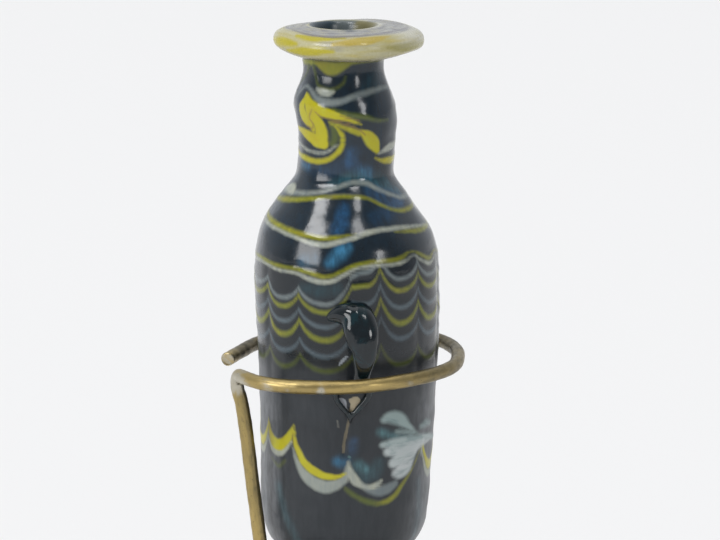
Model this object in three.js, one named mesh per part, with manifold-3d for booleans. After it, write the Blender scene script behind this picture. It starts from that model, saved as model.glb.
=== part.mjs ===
// A core-formed glass flask that hangs by two lug handles in an open hoop of brass wire.
// The wire turns down into one leg, which a nut holds in a small wooden block on felt pads.
// Millimetres, +Z up. The origin is the centre of the block's footprint, on the surface that
// the pads stand on. The front of the flask faces -Y, and +X is to its right.

import * as THREE from "three";
import { mergeVertices } from "three/addons/utils/BufferGeometryUtils.js";
import Module from "manifold-3d";

const wasm = await Module();
wasm.setup();

// Driving dimensions
const GAP = 0.3; // kept between pieces that touch
const HOOP_Z = 80; // height of the hoop's centreline
const HOOP_ABOVE_FLASK_BOTTOM = 41.4;
const WIRE_RADIUS = 1.4;
const PAD = { radius: 5, height: 1.5, inset: 8 };
const BLOCK = { side: 60, height: 16, corner: 3, bevel: 0.8 };
const BODY_WALL = 3;
const RIM_RADIUS = 15;
const RIM_HEIGHT = 5.6; // at the raised lip round the mouth
const MOUTH_RADIUS = 6.1;
const NECK_BORE_RADIUS = 5;
const LUG_TURN = 8; // degrees that the front lug is turned to the right of the front
const LUG_WIDTH = 5;
const FLASK_SIDES = 48;

// Outside of the body and neck: height above the flask's bottom, radius
const FLASK_OUTLINE = [
  [0, 3.3], [0.9, 9], [2.4, 12.8], [4.6, 15], [7.4, 16.3], [12, 17], [20, 17.3], [32, 17.7],
  [44, 18.2], [55, 18.5], [61, 18.4], [65, 17.9], [68.5, 16.8], [72, 14.7], [76, 12], [79.5, 10],
  [83, 9.5], [87, 9.6], [91.5, 10], [94.5, 9.8], [97.4, 8.7], [100.2, 7.95], [103.5, 8.2],
];

// Inside of the body, from the top of the neck down to the floor
const CAVITY_OUTLINE = [
  [103.5, NECK_BORE_RADIUS], [80, NECK_BORE_RADIUS], [76.5, 6.2], [72, 9.8], [67, 13.4],
  [61, 15.4], [32, 17.7 - BODY_WALL], [12, 17 - BODY_WALL], [7.5, 12], [5, 8], [4, 3],
];

// Hand-made lean of the flask: height above its bottom, sideways shift of the section's centre
const FLASK_LEAN = [
  [0, -0.8], [45, 0], [62, -0.2], [73, -0.9], [88, -0.2], [95, -0.8], [106, -0.9],
];

// Cross-section of the rim disk: height above its underside, radius
const RIM_OUTLINE = [
  [0, NECK_BORE_RADIUS + 0.4], [0, 9.5], [0.3, 11.8], [1, 13.8], [2.1, RIM_RADIUS], [3.2, 14.6],
  [4.1, 13.4], [4.6, 11.8], [5, 9.2], [RIM_HEIGHT, 7], [5.2, MOUTH_RADIUS],
  [2.6, MOUTH_RADIUS - 0.5],
];

// Side of a lug: distance from the flask's axis, height above the hoop's centreline
const LUG_BOTTOM = WIRE_RADIUS + GAP;
const LUG_OUTLINE = [
  [17, 17], [20.4, 16.4], [23, 14.6], [24.5, 11], [24.9, 7.2], [24.7, 4], [24.2, LUG_BOTTOM],
  [20.4, LUG_BOTTOM], [17, LUG_BOTTOM],
];
const LUG_EYE = { out: 20.3, up: 5.6, halfDepth: 1.3, halfHeight: 2.6 };
const LUG_ROUNDING = { thickness: 0.9, size: 0.6 };
const LUG_TAIL = { top: 4, waist: -3, tip: -9.5, halfWidth: 4, inner: 16, outer: 19.8 };

// Centreline of the wire, from its cut end round the hoop to the bend above the leg: x, y, z
const HOOP_POINTS = [
  [-24.2, -1.5, HOOP_Z], [-21.6, 5.5, HOOP_Z], [-19, 11.9, HOOP_Z], [-14.8, 17.2, HOOP_Z],
  [-8.2, 21.6, HOOP_Z], [0, 23.6, HOOP_Z], [8, 22.7, HOOP_Z], [14.3, 19.3, HOOP_Z],
  [18.9, 14.7, HOOP_Z], [21.6, 8.2, HOOP_Z], [22.2, 3, HOOP_Z], [22, -2, HOOP_Z],
  [21.2, -6.8, HOOP_Z], [19.4, -11, HOOP_Z], [14.7, -16.6, HOOP_Z], [7.4, -22.2, HOOP_Z],
  [0, -24.8, HOOP_Z], [-6.5, -25.1, HOOP_Z], [-12.4, -23.9, HOOP_Z], [-17, -21.3, HOOP_Z],
  [-20.2, -17.4, HOOP_Z], [-21.6, -14.6, HOOP_Z - 0.3], [-22, -13.3, HOOP_Z - 1.6],
  [-21.8, -12.9, HOOP_Z - 3.4], [-21.1, -12.5, HOOP_Z - 6.2],
];
const LEG_POINTS = [[-17.8, -10.2, 45.8], [-15.6, -8.4, 28.8]];
const LEG_FOOT = [-15, -8]; // where the leg goes down into the block
const LEG_STRAIGHT = 6; // its upright length above the block

const BLOCK_BOTTOM = PAD.height + GAP;
const BLOCK_TOP = BLOCK_BOTTOM + BLOCK.height;
const RECESS = { radius: 5.5, depth: 7 };
const COLLAR = { radius: 3, height: 4 };
const WASHER = { radius: 3.5, height: 0.6 };
const NUT = { acrossFlats: 5.5, height: 2.2 };
const THREAD_BELOW_NUT = 1;
const CUT = 1; // how far a drill or a trimming tool runs past the face it cuts

const FLASK_BOTTOM = HOOP_Z - HOOP_ABOVE_FLASK_BOTTOM;
const NECK_TOP = FLASK_OUTLINE.at(-1)[0];

const finishes = {
  darkGlass: new THREE.MeshStandardMaterial({ color: 0x1b242d, roughness: 0.12, metalness: 0 }),
  rimGlass: new THREE.MeshStandardMaterial({ color: 0xc3bb8f, roughness: 0.3, metalness: 0 }),
  brass: new THREE.MeshStandardMaterial({ color: 0xa38a55, roughness: 0.4, metalness: 1 }),
  wood: new THREE.MeshStandardMaterial({ color: 0x1d1815, roughness: 0.5, metalness: 0 }),
  felt: new THREE.MeshStandardMaterial({ color: 0x2f3a33, roughness: 1, metalness: 0 }),
};

function toSolid(geometry) {
  const bare = geometry.clone();
  bare.deleteAttribute("normal");
  bare.deleteAttribute("uv");
  const merged = mergeVertices(bare, 1e-4);
  const vertProperties = new Float32Array(merged.attributes.position.array);
  const triVerts = new Uint32Array(merged.index.array);
  return new wasm.Manifold(new wasm.Mesh({ numProp: 3, vertProperties, triVerts }));
}

function toGeometry(solid) {
  const { vertProperties, triVerts } = solid.getMesh();
  const geometry = new THREE.BufferGeometry();
  geometry.setAttribute("position", new THREE.BufferAttribute(vertProperties, 3));
  geometry.setIndex(new THREE.BufferAttribute(triVerts, 1));
  geometry.computeVertexNormals();
  return geometry;
}

function piece(name, geometry, material) {
  const mesh = new THREE.Mesh(geometry, material);
  mesh.name = name;
  return mesh;
}

function smoothStep(t) {
  return t * t * (3 - 2 * t);
}

// Sideways shift of the flask's section at a height above its bottom
function leanAt(height) {
  const next = FLASK_LEAN.findIndex(([knot]) => knot >= height);
  if (next === 0) return FLASK_LEAN[0][1];
  if (next < 0) return FLASK_LEAN.at(-1)[1];
  const [lowHeight, lowShift] = FLASK_LEAN[next - 1];
  const [highHeight, highShift] = FLASK_LEAN[next];
  const t = (height - lowHeight) / (highHeight - lowHeight);
  return lowShift + (highShift - lowShift) * smoothStep(t);
}

// Solid of revolution about +Z, from [height, radius] points listed up the outside, then leaned
function turned(outline, { closed = false, lean = false, sides = FLASK_SIDES } = {}) {
  const points = outline.map(([height, radius]) => new THREE.Vector2(radius, height));
  if (closed) points.push(points[0].clone());
  const geometry = new THREE.LatheGeometry(points, sides);
  geometry.rotateX(Math.PI / 2);
  if (lean) {
    const position = geometry.attributes.position;
    for (let i = 0; i < position.count; i++) {
      position.setX(i, position.getX(i) + leanAt(position.getZ(i)));
    }
  }
  return geometry;
}

function flaskBody() {
  const floor = CAVITY_OUTLINE.at(-1)[0];
  const outline = [[0, 0], ...FLASK_OUTLINE, ...CAVITY_OUTLINE, [floor, 0]];
  const mesh = piece("flask_body", turned(outline, { lean: true }), finishes.darkGlass);
  mesh.position.z = FLASK_BOTTOM;
  return mesh;
}

function rimDisk() {
  const mesh = piece("rim_disk", turned(RIM_OUTLINE, { closed: true }), finishes.rimGlass);
  mesh.position.z = FLASK_BOTTOM + NECK_TOP + GAP;
  return mesh;
}

// Lug handle with its eye and tail, cut to lie a gap away from the flask's side
function lugHandle(name, turn) {
  const side = new THREE.Shape();
  side.moveTo(...LUG_OUTLINE[0]);
  const curved = LUG_OUTLINE.slice(1, -2);
  side.splineThru(curved.map(([out, up]) => new THREE.Vector2(out, up)));
  LUG_OUTLINE.slice(-2).forEach(([out, up]) => side.lineTo(out, up));
  const eye = new THREE.Path();
  eye.absellipse(LUG_EYE.out, LUG_EYE.up, LUG_EYE.halfDepth, LUG_EYE.halfHeight, 0, 2 * Math.PI);
  side.holes.push(eye);
  const loop = new THREE.ExtrudeGeometry(side, {
    depth: LUG_WIDTH - 2 * LUG_ROUNDING.thickness,
    bevelSize: LUG_ROUNDING.size,
    bevelOffset: -LUG_ROUNDING.size,
    bevelThickness: LUG_ROUNDING.thickness,
    bevelSegments: 2,
    curveSegments: 3,
  });
  loop.translate(0, 0, LUG_ROUNDING.thickness - LUG_WIDTH / 2);
  loop.rotateX(Math.PI / 2);

  const { top, waist, tip, halfWidth, inner, outer } = LUG_TAIL;
  const tailFace = new THREE.Shape();
  tailFace.moveTo(-halfWidth, top);
  tailFace.quadraticCurveTo(-halfWidth, waist, 0, tip);
  tailFace.quadraticCurveTo(halfWidth, waist, halfWidth, top);
  const tail = new THREE.ExtrudeGeometry(tailFace, {
    depth: outer - inner,
    bevelEnabled: false,
    curveSegments: 5,
  });
  tail.rotateX(Math.PI / 2);
  tail.rotateZ(Math.PI / 2);
  tail.translate(inner, 0, 0);

  const angle = THREE.MathUtils.degToRad(turn);
  const parts = [loop, tail].map((geometry) => {
    geometry.rotateZ(angle);
    geometry.translate(leanAt(HOOP_ABOVE_FLASK_BOTTOM), 0, HOOP_ABOVE_FLASK_BOTTOM);
    return toSolid(geometry);
  });
  const cleared = [[0, 0], ...FLASK_OUTLINE.map(([height, radius]) => [height, radius + GAP])];
  const flask = toSolid(turned([...cleared, [NECK_TOP, 0]], { lean: true }));
  const mesh = piece(name, toGeometry(parts[0].add(parts[1]).subtract(flask)), finishes.darkGlass);
  mesh.position.z = FLASK_BOTTOM;
  return mesh;
}

function disc(radius, height, sides = 24) {
  const geometry = new THREE.CylinderGeometry(radius, radius, height, sides);
  geometry.rotateX(Math.PI / 2);
  return geometry.translate(0, 0, height / 2);
}

// Open hoop and leg, one wire from the cut end to the threaded end under the block
function wireStand(threadEnd) {
  const points = [
    ...HOOP_POINTS,
    ...LEG_POINTS,
    [...LEG_FOOT, BLOCK_TOP + LEG_STRAIGHT],
    [...LEG_FOOT, BLOCK_TOP],
    [...LEG_FOOT, threadEnd],
  ].map((point) => new THREE.Vector3(...point));
  const path = new THREE.CatmullRomCurve3(points, false, "centripetal");
  const section = new THREE.Shape();
  section.absarc(0, 0, WIRE_RADIUS, 0, 2 * Math.PI);
  const geometry = new THREE.ExtrudeGeometry(section, {
    extrudePath: path,
    steps: 120,
    curveSegments: 5,
    bevelEnabled: false,
  });
  return piece("wire_stand", geometry, finishes.brass);
}

function baseBlock() {
  const { side, height, corner, bevel } = BLOCK;
  const flat = side / 2 - bevel;
  const outline = new THREE.Shape();
  outline.absarc(flat - corner, flat - corner, corner, 0, Math.PI / 2);
  outline.absarc(corner - flat, flat - corner, corner, Math.PI / 2, Math.PI);
  outline.absarc(corner - flat, corner - flat, corner, Math.PI, 1.5 * Math.PI);
  outline.absarc(flat - corner, corner - flat, corner, 1.5 * Math.PI, 2 * Math.PI);
  const blank = new THREE.ExtrudeGeometry(outline, {
    depth: height - 2 * bevel,
    bevelSize: bevel,
    bevelThickness: bevel,
    bevelSegments: 2,
    curveSegments: 4,
  });
  blank.translate(0, 0, bevel);
  const hole = disc(WIRE_RADIUS + GAP, height + 2 * CUT).translate(...LEG_FOOT, -CUT);
  const recess = disc(RECESS.radius, RECESS.depth + CUT).translate(...LEG_FOOT, -CUT);
  const solid = toSolid(blank).subtract(toSolid(hole)).subtract(toSolid(recess));
  const mesh = piece("base_block", toGeometry(solid), finishes.wood);
  mesh.position.z = BLOCK_BOTTOM;
  return mesh;
}

// Ring on the leg, its bore a gap wider than the wire
function legRing(name, shape, z, finish) {
  const bore = disc(WIRE_RADIUS + GAP, shape.height + 2 * CUT).translate(0, 0, -CUT);
  const mesh = piece(name, toGeometry(toSolid(shape.blank).subtract(toSolid(bore))), finish);
  mesh.position.set(...LEG_FOOT, z);
  return mesh;
}

function legFastening() {
  const { brass } = finishes;
  const washerTop = BLOCK_BOTTOM + RECESS.depth - GAP;
  const nutTop = washerTop - WASHER.height - GAP;
  const nutRadius = NUT.acrossFlats / Math.sqrt(3);
  const collar = { blank: disc(COLLAR.radius, COLLAR.height), height: COLLAR.height };
  const washer = { blank: disc(WASHER.radius, WASHER.height), height: WASHER.height };
  const nut = { blank: disc(nutRadius, NUT.height, 6), height: NUT.height };
  return {
    threadEnd: nutTop - NUT.height - THREAD_BELOW_NUT,
    rings: [
      legRing("leg_collar", collar, BLOCK_TOP + GAP, brass),
      legRing("leg_washer", washer, washerTop - WASHER.height, brass),
      legRing("leg_nut", nut, nutTop - NUT.height, brass),
    ],
  };
}

function footPads() {
  const offset = BLOCK.side / 2 - PAD.inset;
  const corners = [[1, 1], [-1, 1], [-1, -1], [1, -1]];
  return corners.map(([x, y], index) => {
    const pad = piece(`foot_pad_${index + 1}`, disc(PAD.radius, PAD.height), finishes.felt);
    pad.position.set(x * offset, y * offset, 0);
    return pad;
  });
}

const flask = new THREE.Group();
flask.add(flaskBody(), rimDisk());
flask.add(lugHandle("front_handle", LUG_TURN - 90), lugHandle("rear_handle", LUG_TURN + 90));

const stand = new THREE.Group();
const fastening = legFastening();
stand.add(wireStand(fastening.threadEnd), baseBlock(), ...fastening.rings, ...footPads());

const object = new THREE.Group();
object.add(flask, stand);

export default object;
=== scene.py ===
"""Looks of a core-formed glass flask that hangs in an open hoop of brass wire.

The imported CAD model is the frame. Lengths are in millimetres, and become metres by MM where a mesh is made.
Angles on the flask are degrees round its axis: 0 faces the front (-Y) and they grow to the right (+X).
Heights on the flask are above its bottom.
"""

import math

import bmesh
import bpy
import numpy as np
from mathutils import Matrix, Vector


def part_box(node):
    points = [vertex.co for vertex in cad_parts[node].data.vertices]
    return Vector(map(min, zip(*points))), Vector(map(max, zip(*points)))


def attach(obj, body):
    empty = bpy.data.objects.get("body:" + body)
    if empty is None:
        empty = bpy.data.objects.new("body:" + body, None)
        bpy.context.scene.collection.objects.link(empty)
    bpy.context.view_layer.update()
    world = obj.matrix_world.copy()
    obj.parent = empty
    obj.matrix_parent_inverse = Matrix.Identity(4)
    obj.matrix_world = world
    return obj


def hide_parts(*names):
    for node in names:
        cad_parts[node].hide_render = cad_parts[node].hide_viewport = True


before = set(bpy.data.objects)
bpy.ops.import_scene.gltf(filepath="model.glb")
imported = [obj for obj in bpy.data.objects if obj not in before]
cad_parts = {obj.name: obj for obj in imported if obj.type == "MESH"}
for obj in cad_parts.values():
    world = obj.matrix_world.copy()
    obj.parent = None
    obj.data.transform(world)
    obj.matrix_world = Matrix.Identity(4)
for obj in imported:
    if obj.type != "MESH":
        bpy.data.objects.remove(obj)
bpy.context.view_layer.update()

MM = 0.001
DEGREE = math.radians(1)

# ---- sizes shared with the CAD part

WIRE_RADIUS = 1.4
HOOP_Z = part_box("wire_stand")[1].z / MM - WIRE_RADIUS
THREAD_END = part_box("wire_stand")[0].z / MM
FLASK_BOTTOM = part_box("flask_body")[0].z / MM
NECK_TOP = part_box("flask_body")[1].z / MM - FLASK_BOTTOM
RIM_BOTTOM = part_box("rim_disk")[0].z / MM
RIM_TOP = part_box("rim_disk")[1].z / MM
BLOCK_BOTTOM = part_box("base_block")[0].z / MM
BLOCK_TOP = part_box("base_block")[1].z / MM
LUG_TURN = 8

# height, radius
FLASK_OUTLINE = [
    (0, 0), (0, 3.3), (0.9, 9), (2.4, 12.8), (4.6, 15), (7.4, 16.3), (12, 17), (20, 17.3), (32, 17.7),
    (44, 18.2), (55, 18.5), (61, 18.4), (65, 17.9), (68.5, 16.8), (72, 14.7), (75.5, 12.3), (78.5, 10.05),
    (79.3, 9.7), (80.6, 9.55), (83, 9.5), (87, 9.6), (91.5, 10), (94.5, 9.8), (97.4, 8.7), (100.2, 7.95),
    (103.5, 8.2),
]
CAVITY_FLOOR = 4
CAVITY_OUTLINE = [
    (NECK_TOP + 0.1, 6.6), (NECK_TOP - 0.3, 5.4), (101, 5), (80, 5), (76.5, 6.2), (72, 9.8), (67, 13.4),
    (61, 15.4), (32, 14.7), (12, 14), (7.5, 12), (5, 8), (CAVITY_FLOOR, 3), (CAVITY_FLOOR, 0),
]
# How far the flask's axis leans to the right: height, shift
FLASK_LEAN = [(0, -0.8), (45, 0), (62, -0.2), (73, -0.9), (88, -0.2), (95, -0.8), (106, -0.9)]

HOOP_PLAN = [
    (-24.2, -1.5), (-21.6, 5.5), (-19, 11.9), (-14.8, 17.2), (-8.2, 21.6), (0, 23.6), (8, 22.7), (14.3, 19.3),
    (18.9, 14.7), (21.6, 8.2), (22.2, 3), (22, -2), (21.2, -6.8), (19.4, -11), (14.7, -16.6), (7.4, -22.2),
    (0, -24.8), (-6.5, -25.1), (-12.4, -23.9), (-17, -21.3), (-20.2, -17.4),
]
# x, y, how far below the hoop
TURN_DOWN = [(-21.6, -14.6, 0.3), (-22, -13.3, 1.6), (-21.8, -12.9, 3.4), (-21.1, -12.5, 6.2)]
LEG_POINTS = [(-17.8, -10.2, 45.8), (-15.6, -8.4, 28.8)]
LEG_FOOT = (-15, -8)
LEG_STRAIGHT = 6

# ---- colours, linear RGB

DARK_GLASS = (0.007, 0.011, 0.015)
DEEP_BLUE = (0.008, 0.045, 0.11)
AZURE = (0.03, 0.135, 0.24)
BRIGHT_BLUE = (0.006, 0.085, 0.165)
TEAL = (0.012, 0.048, 0.058)
PALE_TEAL = (0.055, 0.15, 0.165)
DARK_TEAL = (0.003, 0.02, 0.026)

# Added to the dark glass: painted sheen in two upright bands down its left and right, a faint grey painted
# sheen on the satin lower body, and blue on the shoulder and neck
PAINTED_SHEEN = (0.105, 0.11, 0.118)
SATIN_PAINTED_SHEEN = (0.008, 0.008, 0.009)
UPPER_BLUE = (0, 0.006, 0.013)
# Each band of painted sheen as (angle, width, strength), below the hoop and above it
PAINTED_SHEEN_BANDS = [((-64, 14, 1), (-76, 9, 1)), ((66, 13, 0.62), (78, 9, 0.16))]

# ---- trails of glass on the flask
# A stroke is a list of points: angle in degrees, then height and width in tenths of a millimetre.
# The number before a stroke is how opaque its glass is, from 0 to 1.

YELLOW_STROKES = [
    # folded yellow mass on the left of the neck
    (1, [(-54, 963, 4), (-50, 954, 16), (-44, 944, 23), (-35, 938, 24), (-25, 930, 22), (-15, 927, 20),
        (-5, 922, 16), (4, 917, 11), (12, 911, 7), (18, 906, 4)]),
    (1, [(-53, 950, 12), (-57, 932, 20), (-55, 920, 26), (-51, 909, 22), (-46, 902, 12)]),
    (1, [(-40, 930, 16), (-35, 914, 24), (-31, 900, 28), (-31, 887, 30), (-32, 875, 32)]),
    (1, [(-48, 942, 10), (-45, 924, 18), (-43, 910, 18), (-42, 894, 14)]),
    (1, [(-76, 888, 9), (-61, 884, 16), (-47, 877, 23), (-36, 870, 28), (-28, 866, 22)]),
    # its arm and blob on the right
    (0.7, [(-18, 910, 5), (-10, 907, 9), (-2, 901, 11), (6, 896, 13), (14, 890, 15)]),
    (1, [(16, 893, 8), (23, 885, 20), (29, 875, 28), (35, 864, 26), (39, 852, 13)]),
    # hook
    (0.8, [(-100, 850, 6), (-89, 841, 9), (-76, 836, 10), (-59, 833, 12), (-45, 830, 12), (-34, 830, 12),
        (-23, 834, 12), (-14, 844, 12), (-8, 856, 12), (-5, 868, 12), (-5, 881, 12), (-8, 892, 11),
        (-12, 902, 9), (-17, 908, 6)]),
    (0.3, [(-16, 902, 9), (-14, 892, 15), (-14, 879, 16), (-17, 867, 12)]),
    (0.85, [(37, 836, 4), (46, 830, 8), (58, 827, 14), (76, 826, 14), (96, 834, 8), (118, 852, 12),
        (140, 875, 16), (158, 904, 13), (172, 926, 7)]),
    (0.9, [(-178, 846, 6), (-160, 840, 13), (-138, 846, 17), (-118, 868, 19), (-102, 900, 16),
        (-90, 930, 9)]),
    # olive under the rim, with its two thin strands at the left
    (0.58, [(-88, 1019, 9), (-58, 1022, 15), (-40, 1023, 12), (-30, 1018, 22), (-17, 1014, 29),
        (-6, 1018, 22), (4, 1023, 14), (14, 1027, 9), (31, 1028, 6), (56, 1027, 5), (90, 1024, 9),
        (130, 1016, 16), (175, 1022, 10), (225, 1012, 19), (268, 1019, 10)]),
    (0.3, [(-57, 1017, 9), (-66, 1001, 6), (-74, 987, 5), (-84, 973, 4)]),
    (0.34, [(-48, 1016, 8), (-44, 1001, 6), (-41, 992, 5), (-38, 983, 5), (-29, 977, 5), (-20, 975, 5),
        (-12, 976, 6), (-5, 981, 6), (1, 990, 5), (3, 999, 3)]),
    (0.34, [(-12, 937, 4), (-1, 930, 9), (10, 925, 12), (23, 921, 12), (33, 915, 10), (42, 911, 7),
        (56, 909, 4)]),
    (0.3, [(80, 926, 5), (110, 946, 10), (140, 950, 9), (170, 938, 5)]),
    # two trails round the shoulder and one above the combed rows
    (0.62, [(-180, 753, 5), (-150, 756, 8), (-120, 749, 5), (-92, 746, 7), (-67, 749, 10), (-37, 758, 9),
        (-16, 765, 7), (6, 766, 7), (24, 761, 6), (36, 747, 6), (50, 734, 7), (65, 731, 8), (100, 738, 5),
        (140, 748, 8), (180, 753, 5)]),
    (0.66, [(-180, 720, 5), (-130, 726, 8), (-98, 720, 8), (-75, 712, 8), (-57, 706, 9), (-38, 699, 9),
        (-24, 694, 10), (-13, 692, 9), (-1, 696, 6), (9, 701, 1)]),
    (0.6, [(38, 698, 1), (48, 696, 6), (65, 691, 9), (95, 695, 6), (130, 709, 9), (180, 720, 5)]),
    (0.6, [(-180, 646, 7), (-150, 654, 5), (-116, 642, 9), (-88, 634, 7), (-72, 636, 7), (-46, 630, 8),
        (-33, 629, 8), (-22, 624, 9), (-15, 619, 9), (-9, 621, 9), (-3, 630, 8), (5, 641, 8), (13, 646, 8),
        (23, 647, 8), (32, 647, 9), (39, 651, 7), (44, 657, 4), (49, 657, 3), (55, 648, 8), (64, 636, 9),
        (76, 644, 4), (92, 634, 9), (106, 652, 3), (122, 640, 9), (134, 656, 3), (150, 642, 9),
        (180, 646, 7)]),
    # bold band below the hoop: a short combed panel, then a long sweep to the lug's foot and an olive one
    (1, [(-62, 300, 5), (-60, 282, 14), (-56, 267, 22), (-50, 263, 25), (-45, 270, 22), (-41, 283, 18),
        (-38, 299, 11), (-36, 311, 4)]),
    (1, [(-36, 310, 5), (-36, 289, 9), (-35, 272, 12), (-32, 255, 15), (-28, 237, 17), (-23, 225, 18),
        (-17, 216, 17), (-11, 212, 14), (-5, 213, 10), (0, 220, 5)]),
    (0.36, [(0, 189, 7), (3, 180, 10), (8, 170, 11), (14, 161, 12), (20, 155, 12), (24, 154, 8)]),
    (0.6, [(22, 154, 9), (29, 157, 12), (36, 168, 12), (40, 182, 10), (44, 194, 8), (51, 220, 5),
        (57, 246, 4)]),
    (0.3, [(-58, 230, 5), (-54, 222, 7), (-50, 219, 7), (-44, 233, 5)]),
]

GREY_STROKES = [
    # arc across the neck, and a paler patch on its upper side
    (0.55, [(-72, 953, 4), (-68, 966, 6), (-57, 975, 7), (-47, 969, 9), (-37, 958, 11), (-28, 951, 15),
        (-18, 949, 15), (-9, 950, 14), (0, 954, 12), (8, 959, 12), (18, 964, 13), (30, 967, 12),
        (45, 970, 10), (61, 972, 9), (81, 968, 6)]),
    (0.85, [(-37, 973, 7), (-28, 969, 15), (-20, 967, 15), (-14, 970, 9)]),
    (0.75, [(-90, 864, 4), (-80, 859, 5), (-66, 854, 6), (-51, 849, 7), (-37, 847, 7), (-27, 849, 7),
        (-19, 855, 6), (-14, 863, 5), (-10, 865, 3)]),
    (0.8, [(42, 845, 5), (51, 849, 11), (62, 853, 17), (73, 854, 15), (94, 866, 5)]),
    (0.6, [(96, 956, 4), (122, 970, 14), (150, 960, 17), (180, 974, 12), (212, 962, 15), (244, 974, 10),
        (280, 956, 5)]),
    (0.9, [(-84, 768, 5), (-68, 769, 20), (-60, 765, 12)]),
    (0.6, [(-180, 776, 8), (-140, 770, 7), (-100, 762, 7), (-67, 765, 10), (-51, 766, 9), (-30, 771, 9),
        (-11, 780, 8), (6, 790, 9), (26, 788, 10), (40, 774, 9), (66, 753, 8), (100, 758, 7), (140, 772, 8),
        (180, 776, 8)]),
    (0.92, [(-180, 704, 7), (-130, 709, 8), (-92, 706, 8), (-66, 701, 8), (-52, 697, 9), (-34, 689, 9),
        (-22, 682, 11), (-13, 680, 12), (-2, 687, 11), (10, 696, 10), (20, 703, 9), (33, 705, 9),
        (49, 703, 8), (65, 699, 6), (100, 686, 8), (140, 696, 8), (180, 704, 7)]),
    (0.8, [(-180, 636, 8), (-150, 644, 7), (-116, 632, 9), (-88, 626, 8), (-66, 629, 8), (-46, 622, 8),
        (-33, 621, 8), (-22, 611, 10), (-15, 608, 11), (-8, 612, 10), (-2, 623, 9), (5, 635, 8),
        (14, 640, 8), (23, 639, 8), (31, 639, 8), (40, 642, 7), (48, 650, 4), (54, 638, 7), (64, 626, 9),
        (76, 634, 4), (92, 624, 9), (106, 640, 4), (122, 630, 9), (134, 644, 4), (150, 632, 9),
        (180, 636, 8)]),
    # cream under and inside the bold band
    (0.95, [(-62, 269, 7), (-57, 252, 14), (-50, 247, 17), (-44, 257, 14), (-39, 275, 8)]),
    (0.64, [(-37, 262, 6), (-34, 239, 12), (-30, 219, 19), (-25, 204, 25), (-20, 196, 27), (-14, 191, 28),
        (-9, 193, 25), (-4, 200, 20), (0, 212, 15), (1, 227, 12), (2, 245, 4)]),
    (1, [(1.5, 242, 6), (3, 222, 16), (6, 206, 19), (11, 193, 12), (16, 189, 13), (21, 193, 13),
        (24, 200, 8)]),
    (0.5, [(11, 190, 7), (17, 182, 15), (23, 179, 21), (29, 182, 22), (35, 190, 15)]),
]

# Pale fan: feathers of glass that spread from a point at the right (its angle and height)
PALE_STROKES = [
    (0.6, [(24, 327, 16), (28, 330, 25), (34, 325, 31), (39, 317, 26), (44, 304, 17), (50, 290, 8)]),
    (0.35, [(57, 296, 14), (63, 298, 19), (70, 294, 13)]),
    (0.45, [(54, 284, 8), (42, 294, 13), (34, 299, 10)]),
    (0.72, [(100, 249, 3), (93, 251, 8), (85, 256, 12), (61, 271, 17), (46, 275, 22), (34, 275, 23),
        (24, 275, 15)]),
    (0.85, [(81, 258, 8), (57, 266, 18), (43, 265, 30), (34, 261, 32), (28, 259, 22)]),
    (0.85, [(75, 259, 8), (55, 260, 19), (45, 250, 32), (38, 241, 34), (33, 235, 26)]),
    (1, [(71, 258, 6), (53, 253, 17), (47, 239, 30), (42, 226, 33), (38, 217, 28), (34, 212, 18)]),
    (0.8, [(54, 250, 6), (49, 233, 14), (44, 216, 21), (39, 206, 17), (35, 206, 10)]),
]
FAN_POINT = (84, 25.7)

# Crease pressed in under the lug's tail, and thin amber lines in the yellow
CREASE_STROKES = [
    [(1.5, 348, 7), (0, 323, 8), (-1, 305, 8), (-1, 284, 7), (-2, 263, 5)],
]
AMBER_STROKES = [
    [(-39, 934, 2), (-41, 928, 3.5), (-45, 917, 3.5), (-42, 909, 3.5), (-40, 904, 4), (-43, 895, 4),
        (-53, 900, 3), (-64, 908, 2)],
    [(-36, 931, 1.5), (-27, 921, 3), (-15, 917, 3), (-2, 914, 3), (9, 908, 2)],
    [(-5, 925, 2), (5, 919, 3), (16, 915, 2)],
    [(-16, 913, 3), (-3, 908, 4), (9, 901, 4), (17, 893, 3), (22, 885, 2)],
]

# Pale and tan wedges in the lug's folds under its tail, a pale slash beside the lug and a small grey spot
# below the tail are painted highlights; with them go a dark line in the crease under the tail and a small
# teal mark below it: colour, stroke
CRUSTS_AND_PAINTED_GLINTS = [
    ((0.4, 0.42, 0.46), [(-5.2, 370, 8), (-3.4, 366, 16), (-2.6, 359, 13), (-1, 350, 6)]),
    ((0.4, 0.34, 0.23), [(2.6, 370, 10), (5.4, 369, 16), (4.2, 360, 14), (2.8, 350, 7)]),
    ((0.13, 0.112, 0.075), [(2, 344, 5), (0.5, 319, 5), (-0.5, 302, 5), (-1.7, 280, 5), (-2, 263, 4)]),
    ((0.28, 0.31, 0.34), [(-5.6, 441, 2.5), (-3.8, 449, 5), (-2, 456, 5.5), (-0.4, 460, 3)]),
    ((0.11, 0.11, 0.1), [(-5.9, 328, 3), (-5.5, 314, 3)]),
    ((0.06, 0.12, 0.125), [(1.5, 255, 4), (2.5, 253, 4)]),
]
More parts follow.
